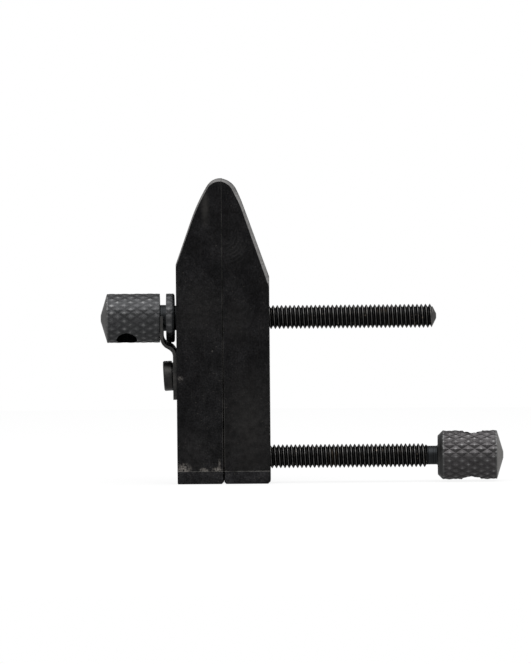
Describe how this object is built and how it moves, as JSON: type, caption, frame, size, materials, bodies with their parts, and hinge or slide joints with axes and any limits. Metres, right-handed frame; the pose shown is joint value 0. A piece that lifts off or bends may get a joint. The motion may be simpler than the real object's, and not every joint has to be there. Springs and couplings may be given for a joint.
{
  "type": "toolmaker clamp",
  "caption": "Parallel-jaw toolmaker's clamp in blackened steel: a plain jaw and a tapped jaw drawn together by a knurled centre screw and levered by a knurled end screw.",
  "frame": {"origin": "on the heel of the plain jaw, under the middle of its width and thickness", "axes": "+X across the jaws, from the plain jaw to the tapped jaw and along both screws; +Y through the jaws' thickness, away from the viewer of the picture; +Z from the heels up to the tips"},
  "size_m": [0.1003, 0.0126, 0.0762],
  "materials": {
    "jaw_steel": "black oxide, satin, with bare worn edges",
    "screw_steel": "darkened turned steel, knurled heads",
    "clip_steel": "blackened spring steel"
  },
  "bodies": {
    "plain_jaw_body": {"plain_jaw": "jaw_steel", "spring_clip": "clip_steel", "clip_screw": "clip_steel"},
    "tapped_jaw_body": {"tapped_jaw": "jaw_steel"},
    "centre_screw_body": {"centre_screw": "screw_steel"},
    "end_screw_body": {"end_screw": "screw_steel"}
  },
  "joints": [
    {"name": "centre_screw_turn", "type": "hinge", "parent": "plain_jaw_body", "child": "centre_screw_body", "pos_m": [0, 0, 0.04145], "axis": [1, 0, 0], "range_deg": [-13267, 0]},
    {"name": "jaw_slide", "type": "slide", "parent": "plain_jaw_body", "child": "tapped_jaw_body", "axis": [1, 0, 0], "range_m": [0, 0.039]},
    {"name": "end_screw_turn", "type": "hinge", "parent": "plain_jaw_body", "child": "end_screw_body", "pos_m": [0, 0, 0.0066], "axis": [1, 0, 0], "range_deg": [-13267, 0]}
  ],
  "couplings": [
    {"joint": "centre_screw_turn", "follows": "jaw_slide", "rad_per_m": -5937.1},
    {"joint": "end_screw_turn", "follows": "jaw_slide", "rad_per_m": -5937.1}
  ]
}
